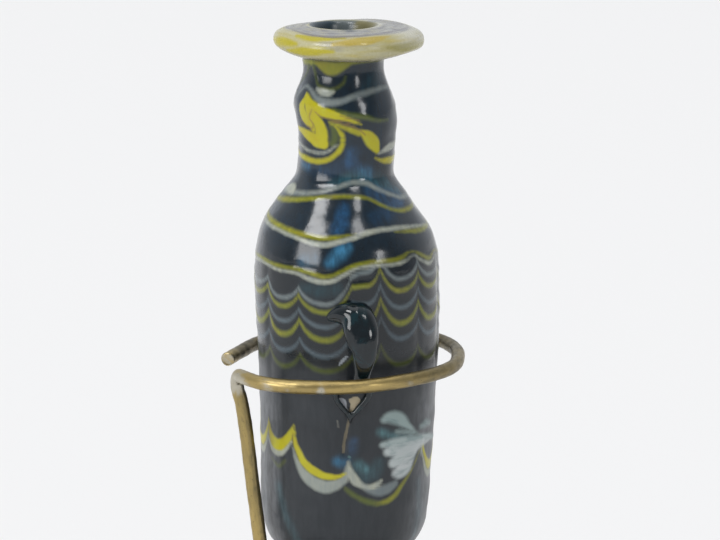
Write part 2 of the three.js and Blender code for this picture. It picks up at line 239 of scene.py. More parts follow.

# Blue and green in the glass: partly its own colour, partly painted glow of light coming through thin glass,
# and painted teal reflections down the lower body. Each is colour, strength, soft stroke
TINTS_AND_PAINTED_GLOW = [
    (DEEP_BLUE, 1, [(0, 744, 14), (-1, 724, 23), (-5, 709, 18)]),
    (DEEP_BLUE, 0.4, [(26, 725, 18), (41, 734, 21), (60, 743, 18)]),
    (AZURE, 1, [(-11, 644, 10), (-6, 657, 19), (-2, 669, 19), (2, 677, 9)]),
    (AZURE, 0.3, [(-28, 645, 21), (-21, 653, 21)]),
    (DEEP_BLUE, 0.8, [(5, 852, 10), (6, 835, 16), (11, 823, 16), (20, 816, 16), (30, 809, 20)]),
    (TEAL, 1, [(-15, 786, 11), (3, 798, 18), (19, 804, 25), (37, 794, 28), (55, 781, 21), (69, 763, 14)]),
    (DEEP_BLUE, 0.5, [(30, 772, 26), (46, 758, 30), (62, 756, 26)]),
    (DEEP_BLUE, 0.35, [(-46, 816, 18), (-22, 812, 20), (-4, 826, 22), (10, 850, 20)]),
    (AZURE, 0.5, [(-70, 820, 6), (-60, 817, 9), (-51, 817, 7)]),
    (DARK_TEAL, 1, [(-28, 594, 14), (-16, 590, 25), (-6, 596, 18)]),
    (DARK_TEAL, 0.8, [(36, 976, 30), (52, 992, 30)]),
    (BRIGHT_BLUE, 1, [(-6, 244, 11), (-3, 244, 18), (0, 247, 11)]),
    (TEAL, 0.9, [(7, 237, 21), (10, 223, 32), (15, 217, 32), (20, 223, 28), (22, 238, 18)]),
    (PALE_TEAL, 0.8, [(8, 238, 7), (10, 230, 9), (13, 226, 5)]),
    (DEEP_BLUE, 0.9, [(5, 287, 7), (4, 273, 12), (4, 262, 9)]),
    (PALE_TEAL, 0.9, [(22, 302, 7), (26, 296, 11), (34, 288, 8), (46, 281, 4)]),
    (TEAL, 0.7, [(-51, 175, 18), (-45, 125, 16), (-38, 85, 16), (-34, 50, 14)]),
    (TEAL, 0.6, [(58, 180, 14), (61, 120, 16), (60, 60, 14)]),
    (DARK_TEAL, 1, [(120, 760, 40), (150, 730, 50), (175, 760, 40)]),
    (DEEP_BLUE, 0.5, [(-150, 600, 40), (-130, 680, 40), (-118, 740, 30)]),
    (TEAL, 0.7, [(140, 220, 20), (143, 140, 24), (146, 60, 20)]),
    (TEAL, 0.7, [(-140, 160, 16), (-137, 100, 20), (-134, 40, 16)]),
]

# Combed rows. A comb was dragged up the flask at each of these angles. PANEL_SHIFT is how much higher the
# trails lie to the right of it, and COMB_DRAG how much further it drew their cusp.
COMBS = [-58, -31, 3, 21, 50, 78, 106, 134, 162, 190, 218, 246, 273]
PANEL_SHIFT = [0, -0.3, 4, 2.75, 2.4, 2, 1.4, 0.9, 1.3, 0.6, 0.9, 1.4, 1.2]
COMB_DRAG = [0, 0, -0.3, 1.2, 0.2, 0, 0.4, -0.2, 0.3, 0, -0.3, 0.3, 0.2]
COMBED_ROWS = [
    # colour, opacity, thickness, height of the first valley, rise of the cusps, share of PANEL_SHIFT
    ("grey", 0.5, 0.96, 56.8, 2.3, 1.5),
    ("yellow", 0.54, 1.05, 55.1, 2.5, 1.25),
    ("grey", 0.4, 0.98, 52.1, 2.7, 1.1),
    ("yellow", 0.53, 1.3, 49.4, 3.2, 0.93),
    ("grey", 0.37, 1, 46.1, 2.6, 1),
    ("yellow", 0.25, 1, 42.9, 2.5, 0.25),
]
# The bold band's combs round the back, and its rows: colour, opacity, lift, thickness
BAND_COMBS = [60, 92, 124, 158, 196, 232, 270, 298]
BAND_VALLEYS = [20.5, 19, 18.6, 17.4, 20, 22.4, 25.6, 25.6]
BAND_CUSPS = [26, 26, 25, 24, 25.5, 28, 29.6, 30.2]
BAND_ROWS = [("yellow", 0.95, 0, 2.1), ("grey", 0.8, -1.9, 1.6)]

FAR = -9.0  # depth given to places that no stroke comes near
# Depths in a stroke between which the tints and painted glow, and the crusts and painted glints, come to
# their full strength
TINT_AND_GLOW_EDGE = (-1.2, 0.9)
CRUST_AND_GLINT_EDGE = (-0.35, 0.25)


# ---- curves and meshes


def curve_through(points, count):
    """count points, evenly spaced along a centripetal Catmull-Rom curve through points of any dimension."""
    p = np.asarray(points, float)
    p = np.vstack([2 * p[0] - p[1], p, 2 * p[-1] - p[-2]])
    dense = []
    for corners in zip(p, p[1:], p[2:], p[3:]):
        gaps = [max(np.linalg.norm(v - u) ** 0.5, 1e-4) for u, v in zip(corners, corners[1:])]
        t = np.cumsum([0.0] + gaps)
        s = np.linspace(t[1], t[2], 24, endpoint=False)[:, None]
        layer = corners
        for spans in (((0, 1), (1, 2), (2, 3)), ((0, 2), (1, 3)), ((1, 2),)):
            layer = [
                (near * (t[j] - s) + far * (s - t[i])) / (t[j] - t[i])
                for near, far, (i, j) in zip(layer, layer[1:], spans)
            ]
        dense.append(layer[0])
    dense = np.vstack(dense + [p[-2:-1]])
    along = np.concatenate([[0], np.cumsum(np.linalg.norm(np.diff(dense, axis=0), axis=1))])
    steps = np.linspace(0, along[-1], count)
    return np.stack([np.interp(steps, along, column) for column in dense.T], 1)


def fade(x, low, high):
    """0 below low, 1 above high, and eased between them."""
    t = np.clip((x - low) / (high - low), 0, 1)
    return t * t * (3 - 2 * t)


def bell(x, middle, width):
    """1 at middle, falling off to both sides to about a third at width from it."""
    return np.exp(-(((x - middle) / width) ** 2))


def eased(knots, x):
    """Value at x of a line through (place, value) knots that is level at each knot."""
    places, values = np.array(knots, float).T
    i = np.clip(np.searchsorted(places, x, side="right") - 1, 0, len(places) - 2)
    return values[i] + (values[i + 1] - values[i]) * fade(x, places[i], places[i + 1])


def waves(turn, *terms):
    """Sum of (height, how many times round, phase) sine waves."""
    return sum(height * np.sin(times * turn + phase) for height, times, phase in terms)


def linked(name, data):
    """Object in the scene that holds the data."""
    item = bpy.data.objects.new(name, data)
    bpy.context.scene.collection.objects.link(item)
    return item


def make_object(name, points, faces, body):
    """Mesh object from points in millimetres."""
    mesh = bpy.data.meshes.new(name)
    mesh.from_pydata((np.reshape(points, (-1, 3)) * MM).tolist(), [], faces)
    mesh.validate()
    mesh.shade_smooth()
    item = linked(name, mesh)
    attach(item, body)
    return item


def paint(item, fields):
    """Stores a number, a place or a colour for every vertex, for the material to read."""
    kinds = {1: ("FLOAT", "value"), 3: ("FLOAT_VECTOR", "vector"), 4: ("FLOAT_COLOR", "color")}
    for name, values in fields.items():
        kind, key = kinds[values.size // len(item.data.vertices)]
        layer = item.data.attributes.new(name, kind, "POINT")
        layer.data.foreach_set(key, values.astype(np.float32).ravel())


def ring_faces(rows, columns, wrap_rows=False):
    """Quads between successive closed rings of points."""
    faces = []
    for i in range(rows if wrap_rows else rows - 1):
        a, b = i * columns, (i + 1) % rows * columns
        faces += [(a + j, a + (j + 1) % columns, b + (j + 1) % columns, b + j) for j in range(columns)]
    return faces


def capped_faces(rows, columns):
    """The same, with the first and the last ring closed."""
    last = (rows - 1) * columns
    caps = [tuple(range(columns))[::-1], tuple(range(last, last + columns))]
    return ring_faces(rows, columns) + caps


def ways_round(count):
    """Evenly spaced directions, in radians."""
    return np.arange(count) * 2 * math.pi / count


def level_ring(centre, reach, z, ways):
    """Points round centre at one height; reach is how far out they are, in each direction or in all."""
    x = centre[0] + reach * np.cos(ways)
    return np.stack([x, centre[1] + reach * np.sin(ways), np.full(len(ways), z)], 1)


def frames_along(path):
    """Tangent, side and up directions along a path, turned as little as possible from step to step."""
    tangents = np.gradient(path, axis=0)
    tangents /= np.linalg.norm(tangents, axis=1)[:, None]
    side = np.cross(tangents[0], (0, 0, 1))
    sides = []
    for t in tangents:
        side = side - t * (side @ t)
        side /= np.linalg.norm(side)
        sides.append(side)
    return tangents, np.array(sides), np.cross(sides, tangents)


# ---- materials


class Surface:
    """Nodes of a material, or of the world, round one shader; colour is the base colour so far."""

    def __init__(self, name, kind=bpy.data.materials, shader="Principled BSDF", **uniform):
        self.data = kind.new(name)
        self.data.use_nodes = True
        self.tree = self.data.node_tree
        self.shader = self.tree.nodes[shader]
        self.place = self.node("TexCoord", {}, "Object")
        self.colour = None
        self.feed(self.shader, {socket.replace("_", " "): value for socket, value in uniform.items()})

    def feed(self, node, inputs):
        """Gives a node's inputs, by name or number, their values: other sockets, numbers or colours."""
        for key, value in inputs.items():
            if isinstance(value, bpy.types.NodeSocket):
                self.tree.links.new(value, node.inputs[key])
            else:
                node.inputs[key].default_value = (*value, 1) if isinstance(value, tuple) else value

    def node(self, kind, inputs, output=0, **settings):
        """Adds a node and returns one of its outputs."""
        made = self.tree.nodes.new("ShaderNode" + kind)
        for key, value in settings.items():
            setattr(made, key, value)
        self.feed(made, inputs)
        return made.outputs[output]

    def math(self, operation, a, b):
        return self.node("Math", {0: a, 1: b}, operation=operation)

    def times(self, a, b):
        return self.math("MULTIPLY", a, b)

    def plus(self, a, b, share=1):
        """a, and share of b."""
        return self.math("ADD", a, b if share == 1 else self.times(b, share))

    def centred(self, noise):
        return self.math("SUBTRACT", noise, 0.5)

    def ramp(self, value, low, high, to_low=0, to_high=1):
        """value, eased from to_low at low to to_high at high."""
        inputs = dict(enumerate((value, low, high, to_low, to_high)))
        return self.node("MapRange", inputs, interpolation_type="SMOOTHSTEP")

    def noise(self, size, detail=3, stretch=(1, 1, 1), distortion=0, place=None):
        """Noise from 0 to 1 whose features are about size millimetres across."""
        scale = [1 / s for s in stretch]
        inputs = {"Vector": self.node("Mapping", {"Vector": place or self.place, "Scale": scale})}
        inputs |= {"Scale": 1 / (size * MM), "Detail": detail, "Roughness": 0.55, "Distortion": distortion}
        return self.node("TexNoise", inputs, "Fac")

    def mix(self, share, a, b, blend="MIX"):
        return self.node("Mix", {0: share, 6: a, 7: b}, 2, data_type="RGBA", blend_type=blend)

    def coat(self, share, colour):
        """Lays a colour over the base colour."""
        self.colour = self.mix(share, self.colour, colour)

    def field(self, name, output="Fac"):
        """What paint stored under this name."""
        return self.node("Attribute", {}, output, attribute_name=name)

    def bump(self, height, depth, below=None):
        """Fine relief, depth millimetres deep, on top of the relief below."""
        inputs = {"Strength": 1, "Distance": depth * MM, "Height": height}
        return self.node("Bump", inputs | ({"Normal": below} if below else {}))

    def done(self, roughness, normal):
        """Connects the base colour and these two to the shader."""
        self.feed(self.shader, {"Base Color": self.colour, "Roughness": roughness, "Normal": normal})
        return self

    def on(self, item):
        item.data.materials.clear()
        item.data.materials.append(self.data)


def flask_glass():
    """Near-black glass with a soft blue glow and a grey sheen painted into its colour, combed yellow and grey
    trails, a pale fan, and small painted highlights among the crust round the lug.
    """
    s = Surface("combed_glass", IOR=1.5, Sheen_Weight=0.08, Sheen_Roughness=0.35)
    wander = s.centred(s.noise(1.6))
    cloud = s.noise(5, 4, distortion=0.6)
    streak = s.noise(1.1, stretch=(1, 1, 4))

    glass = s.mix(1, s.field("glass_tint_and_painted_light", "Color"), s.ramp(streak, 0.3, 0.72, 0.6, 1.3), "MULTIPLY")
    s.colour = s.mix(1, glass, DARK_GLASS, "ADD")
    s.coat(s.ramp(cloud, 0.45, 0.75, 0, 0.5), (0.011, 0.017, 0.022))

    def cover(name, wobble):
        """How far a trail hides the glass below it: crisp where it is opaque, and soft where it is thin."""
        opacity = s.field(name + "_opacity")
        soft = s.math("SUBTRACT", 0.8, s.times(opacity, 0.36))
        edge = s.plus(s.field(name + "_mm"), wander, wobble)
        share = s.ramp(edge, s.times(soft, -0.7), soft)
        return s.times(share, s.ramp(opacity, 0, 0.8, 0.35, 1)), opacity

    grey_share, grey_opacity = cover("grey", 0.45)
    grey = s.mix(s.ramp(grey_opacity, 0.2, 0.85), (0.065, 0.115, 0.165), (0.345, 0.36, 0.295))
    grey = s.mix(s.ramp(streak, 0.3, 0.75, 0, 0.3), grey, (0.1, 0.15, 0.19))
    s.coat(grey_share, grey)

    yellow_share, yellow_opacity = cover("yellow", 0.4)
    yellow = s.mix(s.ramp(yellow_opacity, 0.3, 1), (0.115, 0.15, 0.01), (0.415, 0.38, 0.004))
    ochre = s.times(s.ramp(cloud, 0.45, 0.7, 0, 0.4), yellow_opacity)
    yellow = s.mix(ochre, yellow, (0.35, 0.26, 0.012))
    lemon = s.times(s.ramp(streak, 0.5, 0.75, 0, 0.5), yellow_opacity)
    s.coat(yellow_share, s.mix(lemon, yellow, (0.4, 0.415, 0.02)))

    # the fan's feathers: streaks that run out from its point and fray its edges
    feather = s.node("CombineXYZ", {0: s.field("fan_turn"), 1: s.field("fan_reach")})
    strands = s.noise(1, 4, stretch=(0.12 / MM, 7 / MM, 1), distortion=0.3, place=feather)
    fray = s.plus(s.times(s.centred(strands), 0.6), wander, 0.3)
    pale_opacity = s.field("pale_opacity")
    pale = s.mix(s.ramp(pale_opacity, 0.5, 1), (0.27, 0.36, 0.35), (0.47, 0.5, 0.5))
    pale = s.mix(s.ramp(strands, 0.33, 0.53, 0.5, 0), pale, (0.1, 0.175, 0.18))
    pale_edge = s.ramp(s.plus(s.field("pale_mm"), fray), -0.4, 0.75)
    pale_share = s.times(pale_edge, s.ramp(pale_opacity, 0, 0.8, 0.3, 1))
    s.coat(pale_share, pale)

    amber = s.ramp(s.plus(s.field("amber_mm"), wander, 0.15), -0.25, 0.15)
    s.coat(s.times(amber, 0.65), (0.17, 0.1, 0.035))
    # Crust in the folds, and pale patches that are painted highlights, laid over the glass
    crust_and_glints = s.ramp(s.plus(s.field("crust_and_glints", "Alpha"), wander, 0.5), 0.25, 0.75)
    s.coat(crust_and_glints, s.field("crust_and_glints", "Color"))

    weathered = s.ramp(s.noise(2.6, 5), 0.58, 0.78)
    rough = s.plus(s.ramp(cloud, 0.3, 0.8, 0.13, 0.2), weathered, 0.1)
    rough = s.plus(rough, s.math("MAXIMUM", grey_share, pale_share), 0.07)
    rough = s.plus(rough, s.field("satin"), 0.2)
    rough = s.math("MAXIMUM", rough, s.times(crust_and_glints, 0.7))
    pits = s.ramp(s.noise(0.35, 2), 0.68, 0.8, 1, 0)
    return s.done(rough, s.bump(pits, 0.01, s.bump(s.noise(2.2), 0.035)))


def rim_glass():
    """Cream, grey and yellow glass wound round the mouth in streaks that follow the rim."""
    s = Surface("marbled_rim_glass", IOR=1.5)
    unrolled = s.node("CombineXYZ", {0: s.field("around"), 1: s.field("across")})
    wander = s.noise(2)
    streaks = s.noise(1, stretch=(5 / MM, 0.9 / MM, 1), distortion=0.35, place=unrolled)
    broad = s.noise(1, 2, stretch=(11 / MM, 2.2 / MM, 1), distortion=0.3, place=unrolled)
    s.colour = s.mix(s.ramp(streaks, 0.3, 0.65), (0.4, 0.36, 0.165), (0.44, 0.415, 0.25))
    s.coat(s.ramp(broad, 0.55, 0.68, 0, 0.75), (0.42, 0.345, 0.07))
    s.coat(s.ramp(broad, 0.46, 0.3, 0, 0.6), (0.3, 0.29, 0.23))

    def streaked(name, low, high, share):
        ragged = s.times(s.centred(streaks), 1.4)
        return s.times(s.ramp(s.plus(s.field(name), ragged), low, high), share)

    s.coat(streaked("yellow_mm", -0.5, 0.25, 0.95), (0.41, 0.355, 0.012))
    s.coat(streaked("ochre_mm", -0.5, 0.3, 0.9), (0.4, 0.3, 0.035))
    s.coat(streaked("olive_streak_mm", -0.5, 0.3, 0.85), (0.27, 0.245, 0.055))
    s.coat(s.times(s.field("white"), s.ramp(streaks, 0.3, 0.6, 0.5, 0.85)), (0.56, 0.545, 0.46))
    # painted shade: the rim's outer underside darkened where it overhangs the neck
    s.coat(s.times(s.field("low"), s.ramp(wander, 0.3, 0.7, 0.7, 1)), (0.105, 0.095, 0.08))
    lilac = s.mix(s.ramp(streaks, 0.35, 0.65), (0.18, 0.175, 0.18), (0.285, 0.285, 0.265))
    s.coat(s.times(s.field("top"), s.ramp(wander, 0.3, 0.6, 0.6, 1)), lilac)
    s.coat(streaked("ring_mm", -0.3, 0.35, 0.75), (0.13, 0.115, 0.12))
    # painted shade down the inner wall of the mouth
    s.coat(s.field("inside"), (0.105, 0.125, 0.13))
    s.coat(s.ramp(s.plus(s.field("dark_mm"), wander, 1.2), 0.3, 1.3), (0.02, 0.04, 0.055))
    olive = s.ramp(s.plus(s.field("olive_mm"), wander), 0.3, 1.3)
    s.coat(s.times(olive, 0.85), (0.17, 0.15, 0.055))
    return s.done(s.ramp(s.noise(1.4, 4), 0.3, 0.75, 0.2, 0.36), s.bump(s.noise(0.9), 0.02))


def lug_glass():
    """Plain blue-black glass with a faint green-blue depth and drawn-out surface lines."""
    s = Surface("lug_glass", IOR=1.5)
    cloud = s.noise(3, distortion=0.8)
    lines = s.noise(0.8, stretch=(1, 1, 5))
    s.colour = s.mix(s.ramp(cloud, 0.45, 0.7), (0.006, 0.01, 0.013), (0.006, 0.022, 0.028))
    s.coat(s.ramp(lines, 0.6, 0.8, 0, 0.5), (0.018, 0.026, 0.03))
    return s.done(s.ramp(s.noise(1.5, 4), 0.4, 0.8, 0.1, 0.18), s.bump(s.noise(1.3), 0.03))


def aged_brass(name, tarnish=1, drawn_along=None):
    """Old brass: olive-brown mottling, dark scratches and silvery rubbed spots.

    drawn_along names the field that gives places on a straightened wire, for marks that follow it."""
    s = Surface(name, Metallic=1)
    place = s.field(drawn_along, "Vector") if drawn_along else None
    slow = s.noise(2.4, stretch=(6, 1, 1), distortion=0.2, place=place)
    mottle = s.noise(0.9, 4, stretch=(2.5, 1, 1), distortion=0.3, place=place)
    speckle = s.noise(0.35, stretch=(1.6, 1, 1), place=place)
    drawn = s.noise(0.3, stretch=(16, 1, 1), place=place)
    s.colour = s.mix(s.ramp(slow, 0.32, 0.68), (0.46, 0.345, 0.138), (0.37, 0.285, 0.122))
    s.coat(s.ramp(mottle, 0.48, 0.74, 0, 0.55 * tarnish), (0.25, 0.2, 0.105))
    s.coat(s.ramp(drawn, 0.56, 0.78, 0, 0.4), (0.54, 0.43, 0.215))
    if drawn_along:
        # Darker brass from the painted field: tarnish, with painted shade on the hoop's back and the leg's
        # side turned right
        patina_and_painted_shade = s.plus(s.field("patina_and_painted_shade"), s.centred(mottle), 0.5)
        s.coat(s.ramp(patina_and_painted_shade, 0.05, 1, 0, 0.95), (0.085, 0.08, 0.06))
        worn = s.plus(s.field("worn"), s.centred(mottle), 0.9)
        s.coat(s.ramp(worn, 0.3, 0.85, 0, 0.85), (0.52, 0.5, 0.43))
    scratch = s.ramp(speckle, 0.63, 0.76, 0, 0.65 * tarnish)
    s.coat(scratch, (0.07, 0.06, 0.045))
    rough = s.plus(s.ramp(mottle, 0.3, 0.8, 0.34, 0.48), scratch, 0.2)
    return s.done(rough, s.bump(speckle, 0.015, s.bump(drawn, 0.01)))


def ebonised_wood():
    """Close-grained wood stained black, its grain along X, worn to brown here and there."""
    s = Surface("ebonised_wood", IOR=1.45, Coat_Weight=0.25, Coat_Roughness=0.3)
    grain = s.noise(0.5, 5, stretch=(18, 1, 1.6), distortion=0.25)
    rings = s.noise(3.5, 2, stretch=(14, 1, 1), distortion=0.6)
    pores = s.noise(0.22, 2, stretch=(9, 1, 1))
    s.colour = s.mix(s.ramp(grain, 0.35, 0.7), (0.012, 0.009, 0.008), (0.042, 0.028, 0.02))
    s.coat(s.ramp(rings, 0.5, 0.72, 0, 0.6), (0.055, 0.034, 0.022))
    s.coat(s.ramp(pores, 0.62, 0.74, 0, 0.8), (0.004, 0.003, 0.003))
    relief = s.bump(s.ramp(pores, 0.6, 0.74, 1, 0), 0.03, s.bump(grain, 0.02))
    return s.done(s.ramp(grain, 0.3, 0.75, 0.34, 0.52), relief)


def wool_felt():
    s = Surface("wool_felt", Sheen_Weight=0.5, Sheen_Roughness=0.6)
    fibre = s.noise(0.3, 5, distortion=2.5)
    s.colour = s.mix(s.ramp(fibre, 0.3, 0.7), (0.016, 0.024, 0.02), (0.045, 0.06, 0.052))
    return s.done(s.ramp(fibre, 0.3, 0.7, 0.86, 0.98), s.bump(fibre, 0.12))


# ---- the flask


def apart(a, b):
    """Angle from b to a in degrees, between -180 and 180."""
    return (a - b + 180) % 360 - 180


def stroke_depth(stroke, angle, height, radius):
    """How many millimetres each surface point lies inside a stroke; below 0 outside it."""
    points = np.array(stroke, float)
    points[:, 1:] /= 10
    typical_radius, step, reach = 14, 0.25, 4
    length = np.hypot(np.diff(points[:, 0]) * DEGREE * typical_radius, np.diff(points[:, 1])).sum()
    path = curve_through(points, max(8, int(length / step)))
    depth = np.full(angle.shape, FAR)
    near = (height > path[:, 1].min() - reach) & (height < path[:, 1].max() + reach)
    a, h, r = angle[near], height[near], radius[near]
    best = depth[near]
    for at, up, width in path:
        away = np.hypot(apart(a, at) * DEGREE * r, h - up)
        best = np.maximum(best, width / 2 - away)
    depth[near] = best
    return depth


def festoon_depth(combs, valleys, cusps, thickness, angle, height, radius):
    """The same for a combed trail, whose upright thickness stays the same round the flask."""
    sharpness, tip_lift, tip_width = 2.3, 0.45, 0.4
    edges = np.array(combs + [combs[0] + 360], float)
    tips = np.array(cusps + [cusps[0]], float)
    place = (angle - edges[0]) % 360 + edges[0]
    i = np.clip(np.searchsorted(edges, place, side="right") - 1, 0, len(combs) - 1)
    t = (place - edges[i]) / (edges[i + 1] - edges[i])
    swing = np.abs(2 * t - 1)
    valley = np.array(valleys)[i]
    rise = np.where(t < 0.5, tips[i], tips[i + 1]) - valley
    panel = np.radians(edges[i + 1] - edges[i]) * radius
    slope = rise * sharpness * swing ** (sharpness - 1) * 2 / panel
    middle = valley + rise * swing**sharpness + tip_lift * np.exp(-np.minimum(t, 1 - t) * panel / tip_width)
    return (thickness / 2 - np.abs(height - middle)) / np.sqrt(1 + slope**2 * 0.6)


def layered(strokes, shape):
    """Deepest stroke at every point, and that stroke's opacity, eased towards its neighbours'."""
    depth = np.full(shape, FAR)
    opacity = np.zeros(shape)
    weight = np.full(shape, 1e-9)
    for strength, found in strokes:
        near = np.exp(np.clip(found, -3, 1.5) * 5)
        opacity += near * strength
        weight += near
        depth = np.maximum(depth, found)
    return depth, opacity / weight


def flask_surface(rows=270, columns=288):
    """Angle, height and radius of a grid of points up the outside of the flask."""
    outline = curve_through(FLASK_OUTLINE, rows)[1:]
    angle = np.tile(np.arange(columns) * 360 / columns - 180, (len(outline), 1))
    return angle, np.repeat(outline[:, :1], columns, 1), np.repeat(outline[:, 1:], columns, 1)


def flask_position(angle, height, radius):
    """The place in millimetres of points given by angle, height and radius."""
    turn = np.radians(angle)
    x = eased(FLASK_LEAN, height) + radius * np.sin(turn)
    return np.stack([x, -radius * np.cos(turn), FLASK_BOTTOM + height], -1)


def hand_made(angle, height):
    """Slow unevenness of the hand-turned surface, in millimetres."""
    a = np.radians(angle)
    slow = waves(a, (0.07, 2, 0.05 * height + 0.6), (0.05, 3, -0.11 * height))
    tooling = waves(a, (0.035, 7, 0.31 * height + 1.1), (0.03, 11, -0.52 * height))
    turning = waves(height, (0.035, 0.83, 1.7 * np.sin(a + 0.4)), (0.02, 1.7, 2.1 * np.sin(2 * a)))
    return (slow + tooling + turning) * fade(height, 0.5, 8)


def comb_grooves(angle, height, radius):
    """Shallow furrows that the comb left up the body, from below the combed rows to above them."""
    depth, width = 0.14, 1
    furrows = sum(bell(apart(angle, comb) * DEGREE * radius, 0, width) for comb in COMBS)
    return -depth * furrows * fade(height, 33, 41) * (1 - fade(height, 60, 66))


def trails(angle, height, radius):
    """Depth and opacity of the yellow, grey and pale glass at every surface point."""
    at = (angle, height, radius)
    found = {}
    for colour, strokes in (("yellow", YELLOW_STROKES), ("grey", GREY_STROKES), ("pale", PALE_STROKES)):
        found[colour] = [(opacity, stroke_depth(stroke, *at)) for opacity, stroke in strokes]
    for colour, opacity, thickness, level, rise, share in COMBED_ROWS:
        valleys = [level + share * shift for shift in PANEL_SHIFT]
        cusps = [(valleys[i - 1] + valleys[i]) / 2 + rise + drag for i, drag in enumerate(COMB_DRAG)]
        found[colour].append((opacity, festoon_depth(COMBS, valleys, cusps, thickness, *at)))

    # the bold band goes on round the back in long combed panels
    back = (angle > BAND_COMBS[0] - 2) | (angle < BAND_COMBS[-1] - 360 + 0.5)
    for colour, opacity, lift, thickness in BAND_ROWS:
        valleys, cusps = ([v + lift for v in heights] for heights in (BAND_VALLEYS, BAND_CUSPS))
        depth = festoon_depth(BAND_COMBS, valleys, cusps, thickness, *at)
        found[colour].append((opacity, np.where(back, depth, FAR)))

    fields = {}
    for colour, strokes in found.items():
        fields[colour + "_mm"], fields[colour + "_opacity"] = layered(strokes, angle.shape)
    return fields


def glass_tint_and_painted_light(angle, height, radius, satin):
    """Colour added to the dark glass: blue and green, partly its own and partly painted glow of light through
    thin glass; the painted grey sheen down its sides, dimmed by a painted shadow at the hoop; and a fainter
    painted sheen on the satin lower body.
    """
    tint = np.zeros((*angle.shape, 3))
    for colour, strength, stroke in TINTS_AND_PAINTED_GLOW:
        glow = fade(stroke_depth(stroke, angle, height, radius), *TINT_AND_GLOW_EDGE)
        tint += strength * glow[..., None] * np.array(colour)
    upper = fade(height, 32, 46)
    # painted sheen: a grey veil painted down the left and right of the body
    painted_sheen = 0
    for below, above in PAINTED_SHEEN_BANDS:
        middle, width, strength = (low + (high - low) * upper for low, high in zip(below, above))
        painted_sheen += strength * bell(apart(angle, middle), 0, width)
    # painted shadow of the hoop: the painted sheen is dimmed in a band at the hoop's height
    painted_hoop_shadow = bell(height, 41.5, 4)
    painted_sheen *= fade(height, 1, 7) * (1 - 0.6 * painted_hoop_shadow) * (1.14 - 0.3 * upper)
    # adds the painted sheen, the grey painted sheen on the satin lower body, and the shoulder's blue
    for share, colour in ((painted_sheen, PAINTED_SHEEN), (satin, SATIN_PAINTED_SHEEN), (fade(height, 60, 72), UPPER_BLUE)):
        tint += share[..., None] * np.array(colour)
    return np.dstack([tint, np.ones_like(height)])


def flask_fields(angle, height, radius):
    """Everything that flask_glass reads, at every surface point."""
    at = (angle, height, radius)
    fields = trails(*at)
    fields["amber_mm"] = np.max([stroke_depth(stroke, *at) for stroke in AMBER_STROKES], axis=0)
    across = apart(FAN_POINT[0], angle) * DEGREE * radius
    rise = height - FAN_POINT[1]
    fields["fan_turn"] = np.arctan2(rise, np.maximum(across, -4) + 5)
    fields["fan_reach"] = np.hypot(rise, across)
    fields["satin"] = 1 - fade(height, 42, 50)
    fields["glass_tint_and_painted_light"] = glass_tint_and_painted_light(*at, fields["satin"])
    crust_and_glints = np.zeros((*angle.shape, 4))
    for colour, stroke in CRUSTS_AND_PAINTED_GLINTS:
        share = fade(stroke_depth(stroke, *at), *CRUST_AND_GLINT_EDGE)[..., None]
        layer = np.concatenate([np.ones_like(share) * colour, share], -1)
        crust_and_glints = np.where(share > crust_and_glints[..., 3:], layer, crust_and_glints)
    fields["crust_and_glints"] = crust_and_glints
    return fields


# How far trails stand proud of the glass, and the depths between which they rise to that
TRAIL_RELIEF = [("yellow_mm", 0.07, -0.35, 0.3), ("grey_mm", 0.05, -0.35, 0.3), ("pale_mm", 0.16, -0.6, 1)]
CREASE_DEPTH = 0.35


def flask():
    at = flask_surface()
    angle, height, radius = at
    fields = flask_fields(*at)
    relief = hand_made(angle, height) + comb_grooves(*at)
    for name, rise, low, high in TRAIL_RELIEF:
        relief += rise * fade(fields[name], low, high)
    for stroke in CREASE_STROKES:
        relief -= CREASE_DEPTH * fade(stroke_depth(stroke, *at), -0.7, 0.3)
    outside = flask_position(angle, height, radius + relief)

    columns = angle.shape[1]
    cavity = curve_through(CAVITY_OUTLINE, 30)[:-1, :, None]
    up, out = (np.repeat(column, columns, 1) for column in (cavity[:, 0], cavity[:, 1]))
    inner = flask_position(angle[: len(up)], up, out)
    grid = np.concatenate([outside, inner])
    rows = len(grid)
    ends = flask_position(np.zeros(2), np.array([0, CAVITY_FLOOR]), np.zeros(2))
    bottom, floor_point, last = rows * columns, rows * columns + 1, (rows - 1) * columns
    faces = [face[::-1] for face in ring_faces(rows, columns)]
    faces += [(bottom, j, (j + 1) % columns) for j in range(columns)]
    faces += [(floor_point, last + (j + 1) % columns, last + j) for j in range(columns)]
    item = make_object("combed_flask", np.vstack([grid.reshape(-1, 3), ends]), faces, "flask")

    spare = len(item.data.vertices) - angle.size
    for name, field in fields.items():
        field = field.reshape(angle.size, -1)
        away = np.full((spare, field.shape[1]), FAR if name.endswith("_mm") else 0)
        paint(item, {name: np.vstack([field, away])})
    flask_glass().on(item)
    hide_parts("flask_body")


# height above the rim's underside, radius
RIM_SECTION = [
    (-0.2, 5.3), (-0.25, 7.6), (-0.15, 9.8), (0, 12), (0.35, 13.6), (1.1, 14.75), (2.1, 15.1), (3.1, 15),
    (4, 14.4), (4.6, 13.4), (4.85, 12.3), (4.9, 10.6), (5, 8.8), (5.2, 7.4), (5.15, 6.5), (4.8, 6),
    (4.1, 5.75), (2.4, 5.5), (0.6, 5.3), (-0.2, 5.3),
]

